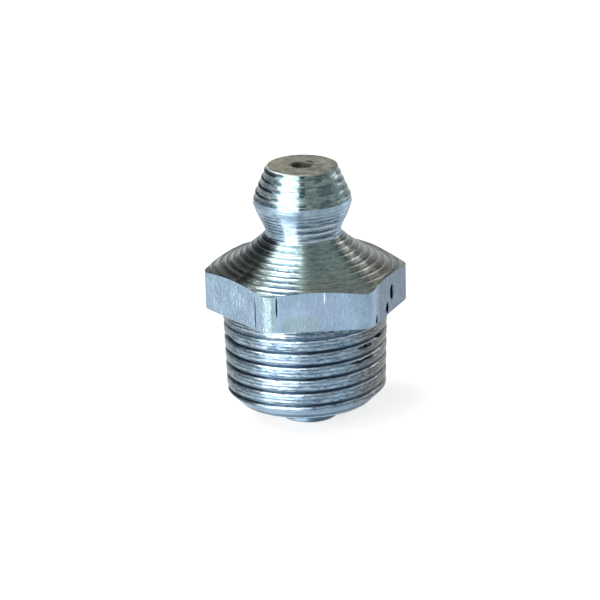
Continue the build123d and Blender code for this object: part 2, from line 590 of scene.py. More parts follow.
def tint_flare(coat, colours):
    """Painted shade and tarnish on the flare."""
    radius, on_flare = coat.radius, coat.on_flare
    coat.lay(colours.tarnish, coat.sooty, on_flare, coat.band(radius, 3.2, 5.5), 0.24)
    # painted shade near the neck on the shaded side
    coat.lay(colours.shade, coat.sooty, on_flare, coat.band(radius, 4.4, 3.2), 0.68)
    # painted shade that tones down the lamp's highlight on the lit side
    coat.lay(colours.shade, coat.lit, on_flare, 0.54)
    # painted shade, in the grease colour, where the lamp's highlight would spread too far
    foot = coat.both(coat.sector(*SHADED_FOOT), on_flare, coat.band(radius, 3.4, 4.8))
    coat.lay(shaded(colours.grease, 0.8), foot, 0.34)
    # painted shade lines between the highlight's strokes low on the lit side
    foot = coat.both(coat.sector(*LIT_FOOT), on_flare, coat.band(radius, 4.0, 6.0))
    gap = coat.stripe(coat.phase, 0.25, 0.4, 0.7, 0.85)
    coat.lay(colours.shade, foot, gap, coat.band(coat.uneven, 0.4, 0.55, 0.3, 1.0), 0.85)
    # painted shade on the flare's dark side
    coat.lay(colours.shade, coat.sector(*DARK_FLARE), on_flare, 0.4)
    # painted shade on the glancing side, so that only the bright lines catch the side lamp
    coat.lay(shaded(colours.turned, 0.24), coat.glancing, 0.9)
    olive = coat.both(coat.band(radius, 3.6, 5.8), coat.band(coat.cloud, 0.3, 0.65, 0.1, 0.35))
    coat.lay(colours.tarnish, on_flare, olive, coat.lerp(1.0, 0.2, coat.lit))
    brown = coat.band(coat.grain(0.7), 0.3, 0.55, 0.55, 1.0)
    coat.lay(shaded(colours.tarnish, 0.34), coat.sector(*STAINED_FLARE), on_flare, brown, 0.85)


def cut_turned(coat, colours):
    """Tool marks: painted shade on each ledge and a painted highlight on its lip, weakest on the even side.
    """
    strength = coat.band(coat.uneven, 0.35, 0.6, 0.4, 0.9)
    strength = coat.both(strength, coat.lerp(1.0, 0.75, coat.on_flare))
    on_lit = coat.both(coat.on_flare, coat.band(coat.radius, 2.9, 4.4, 0.35, 1.0))
    strength = coat.lerp(coat.lerp(strength, on_lit, coat.lit), 0.12, coat.even)
    strength = coat.both(strength, coat.lerp(1.0, 0.7, coat.both(coat.sooty, coat.on_head)))
    fine = coat.lerp(0.5, 0.15, coat.even)
    coat.lay(colours.shade, coat.band(coat.marks, 0.48, 0.34), fine)
    coat.lay(colours.glint, coat.band(coat.marks, 0.54, 0.7), fine)
    coat.lay(colours.shade, coat.stripe(coat.phase, 0.42, 0.58, 0.86, 0.97), strength, 0.82)
    coat.lay(colours.glint, coat.stripe(coat.phase, 0.0, 0.03, 0.1, 0.2), strength, 0.42)


def line_flare(coat, colours):
    """Painted shade and highlight lines on the flare's shaded and glancing sides, and painted shade that dims
    the lamp's highlight beside the lit side.
    """
    phase, on_flare = coat.phase, coat.on_flare
    coat.lay(colours.shade, coat.stripe(phase, 0.78, 0.84, 0.92, 0.97), coat.sooty, on_flare, 0.75)
    coat.lay(colours.glint, coat.stripe(phase, 0.04, 0.1, 0.16, 0.24), coat.sooty, on_flare, 0.4)
    # painted shade where the lamp's highlight would spread past the lit side
    dimmed = coat.both(coat.sector(*DIMMED_FLARE), coat.band(coat.radius, 3.0, 5.2))
    coat.lay(shaded(colours.turned, 0.18), dimmed, on_flare, 0.9)
    coat.lay(colours.glint, coat.stripe(phase, 0.9, 0.98, 1.0, 1.1), coat.glancing, 0.95)


def break_cone(coat, colours):
    """Broken texture on the cone's shaded side."""
    broken = coat.grain((1.6, 1.6, 6.5), 3, 0.75)
    side = coat.both(coat.sooty, coat.on_head, coat.band(coat.z, 9.3, 9.0))
    coat.lay(colours.shade, coat.band(broken, 0.5, 0.38), side, 0.65)
    coat.lay(colours.glint, coat.band(broken, 0.54, 0.66), side, 0.4)


def mark_cone(coat, colours):
    """Chatter beside the cone's lit side, smears beyond it, specks and worn lines."""
    chatter = coat.band(coat.grain((0.9, 0.9, 4.5), 2, 0.6), 0.53, 0.46)
    beyond = coat.both(coat.sector(*SMEARED_CONE), 0.6)
    dashes = coat.math("MAXIMUM", coat.sector(*CHATTERED_CONE), beyond)
    coat.lay(colours.shade, dashes, chatter, coat.on_head, 0.85)
    specks = coat.band(coat.grain(5, 3, 0.7), 0.46, 0.34)
    coat.lay(colours.shade, specks, coat.sooty, coat.on_head, 0.6)
    worn = coat.both(coat.sector(*WORN_CONE), coat.stripe(coat.z, 8.9, 9.15, 9.3, 9.5))
    coat.lay(colours.glint, worn, coat.band(coat.grit, 0.4, 0.6, 0.1, 0.5))


def turned_finish(colours, sizes):
    coat = TurnedFinish(colours, sizes)
    tint_cone(coat, colours)
    tint_flare(coat, colours)
    cut_turned(coat, colours)
    line_flare(coat, colours)
    break_cone(coat, colours)
    coat.lay(colours.shade, coat.band(coat.grit, 0.49, 0.34, 0, 0.45))
    coat.lay(colours.glint, coat.band(coat.grit, 0.55, 0.7, 0, 0.3))
    mark_cone(coat, colours)
    coat.brushed(0.96)
    return coat.finish(coat.bump(coat.marks, 0.02))


def head_finish(colours, sizes):
    """Plate on the head's barrel and the neck: fine marks round the axis with painted shade in them, and a
    painted highlight on the lit side.
    """
    coat = Finish("head_plate", 0.44)
    z = coat.z
    way = coat.math("SUBTRACT", coat.math("DIVIDE", z, sizes.neck_feed), coat.turn)
    uneven = coat.grain((0.35, 0.35, 3.2), 3)
    fine = coat.grain((0.5, 0.5, 16), 2, 0.6)
    grit = coat.grain((2.2, 2.2, 9.0), 3, 0.7)
    cloud = coat.band(coat.grain(0.8, 3), 0.35, 0.7)
    coat.colour = coat.mix(cloud, shaded(colours.head, 0.9), shaded(colours.head, 1.1))
    # painted shade that dims the highlight on the upper barrel
    coat.lay(colours.shade, coat.sector(*SHADED_BARREL), coat.band(z, 6.3, 6.9, 0.3, 0.55))
    unlit = coat.lerp(1.0, 0.1, coat.sector(*LIT_BARREL))
    groove = coat.stripe(coat.math("FRACT", way), 0.05, 0.25, 0.45, 0.65)
    groove = coat.both(groove, coat.band(uneven, 0.4, 0.54, 0.15, 1.0), unlit)
    groove = coat.both(groove, coat.band(z, 7.2, 6.5, 0.1, 1.0))
    # painted shade in the marks, which the bump also cuts, left out on the lit side
    coat.lay(colours.shade, groove, 0.85)

    # painted shade and highlight lines, standing for deeper marks beside the lit side of the neck, at twice
    # the feed
    coarse = coat.math("FRACT", coat.both(way, 0.5))
    neck = coat.both(coat.sector(*MARKED_NECK), coat.band(z, 6.5, 6.1), coat.band(z, 4.85, 5.05))
    dark_line = coat.both(coat.stripe(coarse, 0.3, 0.4, 0.52, 0.6), neck)
    coat.lay(shaded(colours.shade, 1.3), dark_line, coat.band(uneven, 0.38, 0.55, 0.4, 0.85))
    bright_line = coat.both(coat.stripe(coarse, 0.05, 0.12, 0.22, 0.3), neck)
    coat.lay(colours.glint, bright_line, coat.band(uneven, 0.65, 0.4, 0.55, 0.95))

    coat.lay(colours.glint, coat.band(fine, 0.56, 0.7, 0, 0.4))
    coat.lay(colours.shade, coat.band(grit, 0.49, 0.35, 0, 0.4), unlit)
    coat.lay(colours.glint, coat.band(grit, 0.54, 0.68, 0, 0.3))
    # painted highlight on the lit side
    lit = coat.both(coat.sector(*LIT_NECK), coat.band(z, 6.9, 5.9))
    coat.lay(colours.glint, lit, coat.band(grit, 0.35, 0.6, 0.1, 0.4))
    coat.brushed(0.96)
    return coat.finish(coat.bump(coat.math("SUBTRACT", fine, groove), 0.02))


def crest_span(sizes):
    """The phases of the thread's lines between which a crest lies."""
    flank = (sizes.thread_pitch - sizes.crest_width - sizes.root_width) / 2
    start = GROOVE_EDGE + (sizes.root_width / 2 + flank) / sizes.thread_pitch
    return start, start + sizes.crest_width / sizes.thread_pitch


class ThreadFinish(Finish):
    """Plate on the shank, with the patterns that its layers share."""

    def __init__(self, colours, sizes):
        super().__init__("thread_plate")
        self.cloud = self.grain(0.9, 3)
        self.drift = self.grain((0.6, 0.6, 1.6))
        self.rough = self.grain(6, 3, 0.7)
        self.lit = self.sector(*LIT_THREAD)
        self.grimy = self.sector(*DULL_THREAD)
        self.phase = self.thread_phase(sizes)
        self.fine = self.ring_grain(self.phase, 9.0, 0.4, 3, 0.7)
        self.depth = self.band(self.z, -0.5, -1.6, 0.8, 1.0)
        self.depth = self.both(self.depth, self.band(self.z, -5.4, -4.2, 0.75, 1.0))
        base = self.band(self.cloud, 0.35, 0.7)
        self.colour = self.mix(base, shaded(colours.thread, 0.85), shaded(colours.thread, 1.1))

    def thread_phase(self, sizes):
        """Share of the pitch from the dark lower edge of one groove to the next; it strays a little."""
        helix = self.math("SUBTRACT", self.math("DIVIDE", self.z, sizes.thread_pitch), self.turn)
        helix = self.math("MULTIPLY_ADD", self.grain((1.1, 1.1, 1.1)), WANDER, helix)
        return self.math("FRACT", self.math("SUBTRACT", helix, sizes.groove_start - GROOVE_EDGE + WANDER / 2))


def tint_thread(coat, colours, crest_top):
    """A darker, duller side, moss, painted shade under the hexagon, and painted highlights on the lit side
    and on the flanks over the crests.
    """
    coat.lay(colours.glint, coat.lit, coat.band(coat.drift, 0.3, 0.6, 0.0, 0.2))
    # darker and duller on one side, less metal there taking the side lamp's reflection off the thread
    coat.lay(shaded(colours.face, 0.5), coat.grimy, coat.band(coat.rough, 0.35, 0.6, 0.6, 0.9))
    under = coat.both(coat.band(coat.z, -1.0, -0.3), coat.lerp(1.0, 0.25, coat.lit))
    coat.lay(colours.shade, under, coat.band(coat.rough, 0.3, 0.65, 0.9, 0.5))
    coat.lay(colours.glint, coat.band(coat.phase, crest_top - 0.02, crest_top + 0.01), coat.depth, 0.8)
    moss = coat.band(coat.rough, 0.3, 0.6, 0.5, 0.2)
    coat.lay(shaded(colours.turned, 0.5), coat.sector(*MOSSY_THREAD), moss)


def line_crests(coat, colours):
    """Fine lines and ridges along the crests, weaker on the calm side."""
    calm = coat.lerp(1.0, 0.55, coat.sector(*CALM_THREAD))
    coat.lay(colours.shade, coat.band(coat.fine, 0.52, 0.4), coat.lerp(0.65, 0.85, coat.lit), calm)
    coat.lay(colours.glint, coat.band(coat.fine, 0.55, 0.66, 0, 0.35), calm)
    ridge = coat.math("FRACT", coat.both(coat.phase, RIDGES))
    uneven = coat.both(coat.band(coat.drift, 0.35, 0.6, 0.2, 0.6), calm)
    coat.lay(colours.shade, coat.stripe(ridge, 0.0, 0.2, 0.3, 0.5), uneven, 0.6)
    coat.lay(colours.glint, coat.stripe(ridge, 0.5, 0.7, 0.8, 0.95), uneven, 0.4)
    coat.lay(colours.shade, coat.band(coat.rough, 0.42, 0.27, 0, 0.4))
    olive = coat.band(coat.cloud, 0.3, 0.6, 0.25, 0.6)
    coat.lay(shaded(colours.tarnish, 0.3), coat.sector(*OLIVE_THREAD), olive)


def grit_shank(coat, colours):
    """Grit, less of it on the plainer chamfer and boss, painted shade on the lit side, a darker band low on
    the boss, and a painted highlight on the collar over the thread.
    """
    z = coat.z
    grit = coat.grain((2.2, 2.2, 9.0), 3, 0.75)
    gritty = coat.band(z, -6.0, -5.6, 0.25, 1.0)
    coat.lay(colours.bar, coat.band(z, -5.6, -6.0, 0.0, 0.6))
    coat.lay(colours.shade, coat.band(grit, 0.49, 0.35, 0, 0.7), gritty)
    coat.lay(colours.glint, coat.band(grit, 0.54, 0.68, 0, 0.35), gritty)
    # painted shade that tones down the thread's highlight
    coat.lay(colours.shade, coat.lit, 0.14)
    # darker towards the bottom of the boss on one side
    dark_band = coat.both(coat.sector(*DARK_BOSS), coat.band(z, -7.3, -7.75))
    coat.lay(shaded(colours.shade, 2.0), dark_band, coat.band(coat.rough, 0.3, 0.5, 0.45, 0.75))
    # painted highlight on the collar under the hexagon
    collar = coat.both(coat.sector(*LIT_COLLAR), coat.stripe(z, -0.9, -0.65, -0.3, -0.05))
    coat.lay(colours.glint, collar, coat.band(grit, 0.4, 0.6, 0.25, 0.7))


def torn_crests(coat):
    """1 where the crests are torn off, with gaps between."""
    torn = 0.0
    for bearing, height, half_width, half_height, _ in TORN_CRESTS:
        off = coat.math("SUBTRACT", coat.both(coat.turn, 360.0), float(bearing))
        spot = coat.spot(off, coat.z, (0.0, height), (half_width, half_height), 0.3)
        torn = coat.math("MAXIMUM", torn, spot)
    return coat.both(torn, coat.band(coat.grain((1.6, 1.6, 3)), 0.7, 0.62))


def thread_finish(colours, sizes):
    coat = ThreadFinish(colours, sizes)
    crest, crest_top = crest_span(sizes)
    tint_thread(coat, colours, crest_top)
    line_crests(coat, colours)
    grit_shank(coat, colours)
    # painted shade in the grooves, paler on one side
    groove = coat.both(coat.stripe(coat.phase, 0.0, 0.03, crest - 0.03, crest + 0.01), coat.depth)
    coat.lay(shaded(colours.shade, 1.6), groove, coat.lerp(1.0, 0.82, coat.sector(*PALE_GROOVES)), 0.86)
    # painted shade in the torn crests, with metal and gloss taken away
    torn = torn_crests(coat)
    coat.lay(shaded(colours.shade, 0.3), torn)
    coat.dull(torn, coat.lerp(1.0, 0.3, coat.grimy))
    coat.brushed(0.96)
    return coat.finish(coat.bump(coat.fine, 0.02), coat.lerp(0.38, 1.0, torn))


def face_finish(colours):
    """Matt end face, with old grease round the inlet."""
    coat = Finish("inlet_face_plate")
    x, y, radius = coat.x, coat.y, coat.radius
    cloud = coat.grain(1.6, 4, 0.6)
    base = coat.band(cloud, 0.35, 0.65)
    coat.colour = coat.mix(base, shaded(colours.face, 0.85), shaded(colours.face, 1.15))
    coat.lay(colours.tarnish, coat.sector(*BROWN_FACE), 0.2)
    smear = coat.math("ADD", radius, coat.both(coat.math("SUBTRACT", cloud, 0.5), 1.6))
    coat.lay(colours.grease, coat.band(smear, 1.1, 0.6, 0, 0.8))
    thick = coat.band(cloud, 0.35, 0.6, 0.5, 1.0)
    coat.lay(colours.grease, coat.spot(x, y, *GREASE_SPOT, 0.9), thick, 0.8)
    pale = coat.band(cloud, 0.35, 0.6, 0.3, 0.6)
    coat.lay(shaded(colours.face, 1.8), coat.spot(x, y, *PALE_SPOT, 0.9), pale)
    blotch = coat.grain(3.2, 3, 0.7)
    coat.lay(colours.tarnish, coat.band(blotch, 0.52, 0.68, 0, 0.35))
    coat.lay(colours.grease, coat.band(blotch, 0.46, 0.32, 0, 0.3))
    # painted highlight along the rim's lit side
    coat.lay(colours.glint, coat.band(radius, 2.22, 2.29), coat.sector(*LIT_RIM), 0.3)
    rings = coat.ring_grain(radius, 7.0, 0.12)
    return coat.finish(coat.bump(rings, 0.02), coat.band(cloud, 0.3, 0.7, 0.5, 0.65))


def passage_finish(colours):
    coat = Finish("passage_plate", 0.6, 0.5)
    cloud = coat.grain(2.0, 3)
    base = coat.band(cloud, 0.4, 0.65)
    coat.colour = coat.mix(base, shaded(colours.grease, 0.8), shaded(colours.face, 0.3))
    return coat.finish(coat.bump(cloud, 0.02))


def spring_finish():
    coat = Finish("spring_wire", 0.35)
    drawn = coat.grain(12, 3)
    coat.colour = coat.mix(drawn, *WIRE_COLOURS)
    return coat.finish(coat.bump(drawn, 0.01))


def ball_finish(colours):
    """Polished ball under a film of old grease."""
    coat = Finish("ball_polish", metallic=0.5)
    film = coat.grain(2.2, 4, 0.6)
    base = coat.band(film, 0.3, 0.55)
    coat.colour = coat.mix(base, shaded(colours.face, 0.3), shaded(colours.face, 0.75))
    return coat.finish(coat.bump(film, 0.01), coat.band(film, 0.4, 0.6, 0.55, 0.4))


# ---------------- body


def bar_radius(angle, corner_radius):
    """How far the drawn bar reaches from the lathe axis in this direction."""
    apothem = ACROSS_FLATS / 2
    sixth = math.radians(60)
    ray = Vector((math.cos(angle), math.sin(angle)))
    centre = Vector((BAR_OFFSET, 0))
    reach = math.inf
    for k in range(6):
        normal = Vector((math.cos(sixth / 2 + sixth * k), math.sin(sixth / 2 + sixth * k)))
        facing = ray.dot(normal)
        if facing > 1e-6:
            reach = min(reach, (apothem + centre.dot(normal)) / facing)
    hit = ray * reach - centre
    corner = round(math.atan2(hit.y, hit.x) / sixth) * sixth
    arc_centre = Vector((math.cos(corner), math.sin(corner))) * (apothem - corner_radius) * 2 / math.sqrt(3)
    from_arc = hit - arc_centre
    off = math.atan2(from_arc.y, from_arc.x) - corner
    off = (off + math.pi) % (2 * math.pi) - math.pi
    if abs(off) < sixth / 2 and from_arc.length > 1e-6:
        arc_centre += centre
        along = ray.dot(arc_centre)
        reach = along + math.sqrt(max(along**2 - arc_centre.length_squared + corner_radius**2, 0))
    return reach


def flare_height(radius):
    """Height of the flare's arc at this radius."""
    dx, dz = FLARE_FOOT_RADIUS - FLARE_ROOT_RADIUS, FLARE_FOOT - FLARE_TOP
    chord = math.hypot(dx, dz)
    rise = math.sqrt(FLARE_RADIUS**2 - chord**2 / 4)
    centre_x = (FLARE_ROOT_RADIUS + FLARE_FOOT_RADIUS) / 2 - dz / chord * rise
    centre_z = (FLARE_TOP + FLARE_FOOT) / 2 + dx / chord * rise
    return centre_z - math.sqrt(FLARE_RADIUS**2 - (radius - centre_x) ** 2)


def barrel_radius(z):
    """Radius of the head below its widest band, bulging a little on its way to the neck."""
    t = clamp((HEAD_BAND_TOP - z) / (HEAD_BAND_TOP - NECK_TOP))
    straight = HEAD_RADIUS - max(0, t - 0.18) / 0.82 * (HEAD_RADIUS - NECK_RADIUS)
    bulge = BARREL_BULGE * math.sin(math.pi * clamp(t / 0.8))
    return straight + bulge * (1 - smooth(0.75, 1, t))


def head_profile():
    """Stations (radius, height) of the head, from the inlet face's edge down to the neck."""
    rows = [(HEAD_TOP_RADIUS - FACE_EDGE, INLET_FACE)]
    for i in range(CONE_STEPS + 1):
        t = i / CONE_STEPS
        z = lerp(INLET_FACE - BROKEN_EDGE, HEAD_BAND_TOP, t)
        rows.append((lerp(HEAD_TOP_RADIUS, HEAD_RADIUS, t), z))
    for i in range(1, BARREL_STEPS + 1):
        z = lerp(HEAD_BAND_TOP, NECK_TOP, i / BARREL_STEPS)
        rows.append((barrel_radius(z), z))
    return rows + [(NECK_RADIUS, lerp(NECK_TOP, FLARE_TOP, t)) for t in (0.25, 0.5, 0.75, 0.97)]


def passage_profile():
    """Stations of the inlet face, the passage through the body and the rolled-in lip, going down."""
    edge, mouth = HEAD_TOP_RADIUS - FACE_EDGE, INLET_RADIUS + INLET_EDGE
    rows = [(lerp(edge, mouth, t), INLET_FACE) for t in (0.12, 0.3, 0.5, 0.7, 0.85, 1)]
    rows += [(INLET_RADIUS, INLET_FACE - INLET_EDGE), (INLET_RADIUS, INLET_BOTTOM)]
    rows += [(BORE_RADIUS, SEAT_BOTTOM), (BORE_RADIUS, LIP_TOP), (LIP_RADIUS, LIP_TOP)]
    return rows + [(LIP_RADIUS, BOSS_END + BROKEN_EDGE), (LIP_RADIUS + BROKEN_EDGE, BOSS_END)]


def foot_profile():
    """Stations of the boss and the shank's end face, going up and out."""
    rows = []
    for i in range(BOSS_CORNER_STEPS + 1):
        a = math.radians(90 * i / BOSS_CORNER_STEPS)
        z = BOSS_END + BOSS_CORNER - BOSS_CORNER * math.cos(a)
        rows.append((BOSS_RADIUS - BOSS_CORNER + BOSS_CORNER * math.sin(a), z))
    rows += [(BOSS_RADIUS, SHANK_END - BROKEN_EDGE), (BOSS_RADIUS + BROKEN_EDGE, SHANK_END)]
    rows += [(lerp(BOSS_RADIUS, SHANK_END_RADIUS, t), SHANK_END) for t in (0.3, 0.6, 0.9, 0.98)]
    return rows + [(SHANK_END_RADIUS, THREAD_END)]


def body_outline(sizes):
    """Half section of the plain turned body above and below the thread, as one open line."""
    crest = sizes.crest_radius
    rows = [(crest, THREAD_TOP), (crest, -BROKEN_EDGE)]
    rows += [(lerp(crest, FLARE_FOOT_RADIUS, t), 0) for t in (0, 0.25, 0.5, 0.75, 0.93, 1)]
    rows += [(FLARE_FOOT_RADIUS, FLARE_FOOT * (i + 0.4) / WALL_STEPS) for i in range(WALL_STEPS)]
    for i in range(FLARE_STEPS + 1):
        radius = lerp(FLARE_FOOT_RADIUS, FLARE_ROOT_RADIUS, i / FLARE_STEPS)
        rows.append((radius, flare_height(radius)))
    return rows + head_profile()[::-1] + passage_profile() + foot_profile()


def thread_profile(sizes):
    """One pitch of the groove, from its bottom up: pairs of height and depth below the crest, in mm."""
    flank = (sizes.thread_pitch - sizes.crest_width - sizes.root_width) / 2
    depth = flank / math.tan(THREAD_HALF_ANGLE)
    root = sizes.root_width / 2
    rows = [(0, depth + 0.02), (root, depth)]
    rows += [(root + flank * t, depth * (1 - t) + CREST_ROUNDING * t) for t in (0.35, 0.7)]
    for i in range(CREST_STEPS + 1):
        t = i / CREST_STEPS
        rows.append((root + flank + sizes.crest_width * t, CREST_ROUNDING * abs(2 * t - 1) ** 4))
    top = root + flank + sizes.crest_width
    return rows + [(top + flank * t, lerp(CREST_ROUNDING, depth, t)) for t in (0.3, 0.65, 1)]


def spin_line(bm, rows, columns, rise=0.0):
    """Turns a half section once round the axis, as a screw if it rises."""
    verts = [bm.verts.new((radius, 0, z)) for radius, z in rows]
    edges = [bm.edges.new(pair) for pair in zip(verts, verts[1:])]
    bmesh.ops.spin(
        bm, geom=verts + edges, cent=(0, 0, 0), axis=(0, 0, 1), dvec=(0, 0, rise / columns),
        angle=2 * math.pi, steps=columns, use_merge=not rise, use_duplicate=False,
    )


def tear(angle, z):
    """How deep the crests are torn off here, with ragged edges."""
    deepest = 0.0
    bearing_here = math.degrees(angle)
    for bearing, height, half_width, half_height, depth in TORN_CRESTS:
        u = (bearing_here - bearing) / half_width
        v = (z - height) / half_height
        ragged = noise.noise(Vector((bearing_here * 0.45, z * 5, height)))
        deepest = max(deepest, depth * smooth(1.0, 0.4, u * u + v * v) * smooth(-0.1, 0.25, ragged))
    return deepest


def screw_shank(bm, sizes):
    """The threaded part of the shank, its rows running along the helix."""
    pitch, start, crest = sizes.thread_pitch, sizes.groove_start, sizes.crest_radius
    profile = thread_profile(sizes)
    turns = range(math.floor(THREAD_END / pitch) - 2, math.ceil(THREAD_TOP / pitch) + 1)
    rows = [(SPUN_CREST - depth, (turn + start) * pitch + z) for turn in turns for z, depth in profile]
    spin_line(bm, rows, sizes.columns, pitch)
    for v in bm.verts:
        x, y, z = v.co
        angle = math.atan2(y, x)
        depth = (SPUN_CREST - math.hypot(x, y)) * smooth(THREAD_TOP, THREAD_FADE, z)
        chamfer = SHANK_END_RADIUS + (z - SHANK_END) + CHAMFER_OFFSET * math.cos(angle)
        radius = min(crest + z * sizes.taper - max(depth, tear(angle, z)), chamfer)
        z = clamp(z, THREAD_END, THREAD_TOP)
        offset = 0.0
        if z >= THREAD_TOP:
            radius = crest
        elif z <= THREAD_END:
            radius, offset = SHANK_END_RADIUS, CHAMFER_OFFSET
        v.co = (radius * math.cos(angle) + offset, radius * math.sin(angle), z)


def foot_lean(radius, angle):
    """The hexagon's edges lie a little lower towards +X at the front, and higher at the back."""
    x, y = radius * math.cos(angle), radius * math.sin(angle)
    return lerp(-FRONT_TILT, BACK_TILT, smooth(0.0, 5.0, y)) * x * smooth(4.0, 6.0, radius)


def underside_lean(radius, angle):
    """The underside follows the lean, but less at -X."""
    return foot_lean(radius, angle) * lerp(0.4, 1.0, smooth(-0.6, 0.0, math.cos(angle)))


def crack_depth(angle, radius, height):
    """How deep the open cracks cut into the flats here."""
    deepest = 0.0
    for bearing, along, middle, half_width, half_height in CRACKS:
        off = angle - math.radians(bearing)
        if math.cos(off) > SAME_FLAT:
            u, v = (radius * math.sin(off) - along) / half_width, (height - middle) / half_height
            deepest = max(deepest, CRACK_DEPTH * smooth(1.0, 0.2, u * u + v * v))
    return deepest


def saw(phase, ledge):
    """One tool mark: falls slowly from 0.5 to -0.5 and comes back over the ledge."""
    t = phase % 1.0
    if t < 1 - ledge:
        return 0.5 - smooth(0, 1, t / (1 - ledge)) * 0.35 - t / (1 - ledge) * 0.65
    return -0.5 + smooth(1 - ledge, 1, t)


def mark_strength(angle):
    """Tool marks are deeper on the side away from +X, and faint on the even side."""
    even = smooth(*EVEN_FADE, math.cos(angle - math.radians(EVEN_CONE[0])))
    return lerp(0.55, 1.0, smooth(0.2, -0.6, math.cos(angle))) * lerp(1.0, 0.3, even)


def flare_mark(sizes, radius, angle):
    gain = sizes.feed_gain
    way = math.log(1 + max(0, radius - FLARE_ROOT_RADIUS) * gain / sizes.flare_feed) / gain
    fade = smooth(FLARE_ROOT_RADIUS, FLARE_ROOT_RADIUS + FLARE_RUN_IN, radius)
    return FLARE_MARK_DEPTH * saw(way - angle / (2 * math.pi), FLARE_LEDGE) * mark_strength(angle) * fade


def head_mark(sizes, angle, z):
    way = (INLET_FACE - z) / sizes.head_feed
    fade = smooth(HEAD_BAND_TOP, HEAD_BAND_TOP + HEAD_RUN_IN, z)
    return HEAD_MARK_DEPTH * saw(way - angle / (2 * math.pi), HEAD_LEDGE) * mark_strength(angle) * fade


def shape_end(v, radius):
    """Sets the boss and the shank's end face a little off the axis."""
    if v.co.z < SHANK_END - NEAR:
        v.co.x += BOSS_OFFSET * smooth(BORE_RADIUS, BOSS_SHIFTED, radius)
    else:
        v.co.x += lerp(BOSS_OFFSET, CHAMFER_OFFSET, (radius - BOSS_RADIUS) / (SHANK_END_RADIUS - BOSS_RADIUS))


def shape_body(bm, sizes):
    """Presses the round foot to the bar's outline and cuts the tool marks."""
    crest = sizes.crest_radius
    for v in bm.verts:
        x, y, z = v.co
        radius, angle = math.hypot(x, y), math.atan2(y, x)
        in_passage = radius < BORE_RADIUS + NEAR and z < INLET_FACE - NEAR
        if z < THREAD_END + TOUCHING and not in_passage:
            shape_end(v, radius)
            continue
        if z < THREAD_TOP + NEAR or in_passage:
            continue
        bar = bar_radius(angle, sizes.corner_radius)
        if z <= FLARE_FOOT + TOUCHING and radius > FLARE_FOOT_RADIUS - TOUCHING:  # flats
            top = flare_height(bar) + foot_lean(bar, angle)
            z = lerp(underside_lean(bar, angle), top, z / FLARE_FOOT)
            radius = bar - crack_depth(angle, bar, z)
        elif z < NEAR:  # underside
            share = clamp((radius - crest) / (FLARE_FOOT_RADIUS - crest))
            radius = lerp(crest, bar, share) if radius > crest else radius
            z += underside_lean(radius, angle) * share
        elif z < FLARE_TOP + TOUCHING and radius > FLARE_ROOT_RADIUS - TOUCHING:  # flare
            if radius > BAR_START:
                radius = lerp(BAR_START, bar, (radius - BAR_START) / (FLARE_FOOT_RADIUS - BAR_START))
            z = flare_height(radius) + foot_lean(radius, angle) + flare_mark(sizes, radius, angle)
        elif HEAD_BAND_TOP - NEAR < z < INLET_FACE - NEAR:  # cone of the head
            radius += head_mark(sizes, angle, z)
        v.co = (radius * math.cos(angle), radius * math.sin(angle), z)


def zone_of(centre, normal):
    """The zone of the body, named for its finish, that a face lies in."""
    radius, z = math.hypot(centre.x, centre.y), centre.z
    if radius < BORE_RADIUS + NEAR and z < INLET_FACE - NEAR:
        if z > BOSS_END + NEAR or radius < LIP_RADIUS:
            return "passage"
    if z > INLET_FACE - BROKEN_EDGE:
        return "face"
    if z > CONE_END:
        return "turned"
    if z > NECK_END:
        return "head"
    if normal.z > FLARE_FACING and z > flare_height(radius) - FLARE_PLAY:
        return "turned"
    if z > FOOT_START or z > FOOT_PLAY and radius > BAR_START:
        return "bar"
    return "thread"


def join_body(sizes):
    """The plain turned form and the screwed shank, joined to one closed mesh in mm."""
    bm = bmesh.new()
    spin_line(bm, body_outline(sizes), sizes.columns)
    shape_body(bm, sizes)
    plain = bpy.data.meshes.new("plain_body")
    bm.to_mesh(plain)
    bm.free()
    bm = bmesh.new()
    screw_shank(bm, sizes)
    bm.from_mesh(plain)
    bpy.data.meshes.remove(plain)
    bmesh.ops.remove_doubles(bm, verts=bm.verts, dist=MERGED)
    bmesh.ops.dissolve_degenerate(bm, edges=bm.edges, dist=MERGED / 4)
    bmesh.ops.recalc_face_normals(bm, faces=bm.faces)
    return bm


def add_piece(name, bm):
    """Makes an object of a finished mesh and links it to the scene."""
    mesh = bpy.data.meshes.new(name)
    bm.to_mesh(mesh)
    bm.free()
    piece = bpy.data.objects.new(name, mesh)
    bpy.context.scene.collection.objects.link(piece)
    return piece


def make_body(sizes, colours):
    bm = join_body(sizes)
    for face in bm.faces:
        face.smooth = True
        face.material_index = ZONES.index(zone_of(face.calc_center_median(), face.normal))
    for edge in bm.edges:
        if len(edge.link_faces) == 2 and edge.calc_face_angle(0) > SHARP_EDGE:
            edge.smooth = False
    bmesh.ops.scale(bm, vec=(MM, MM, MM), verts=bm.verts)
    body = add_piece("nipple_shell", bm)
    finishes = {
        "bar": bar_finish(colours),
        "turned": turned_finish(colours, sizes),
        "head": head_finish(colours, sizes),
        "thread": thread_finish(colours, sizes),
        "face": face_finish(colours),
        "passage": passage_finish(colours),
    }
    for zone in ZONES:
        body.data.materials.append(finishes[zone])
    return body


class MESH_OT_nipple_body(bpy.types.Operator):
    """Adds the one-piece body with its tool marks, hexagon and thread"""

    bl_idname = "mesh.nipple_body"
    bl_label = "Nipple Body"

    def execute(self, context):
        body = make_body(in_mm(context.scene.nipple_sizes), context.scene.nipple_colours)
        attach(body, "housing")
        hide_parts("nipple_body")
        return {"FINISHED"}


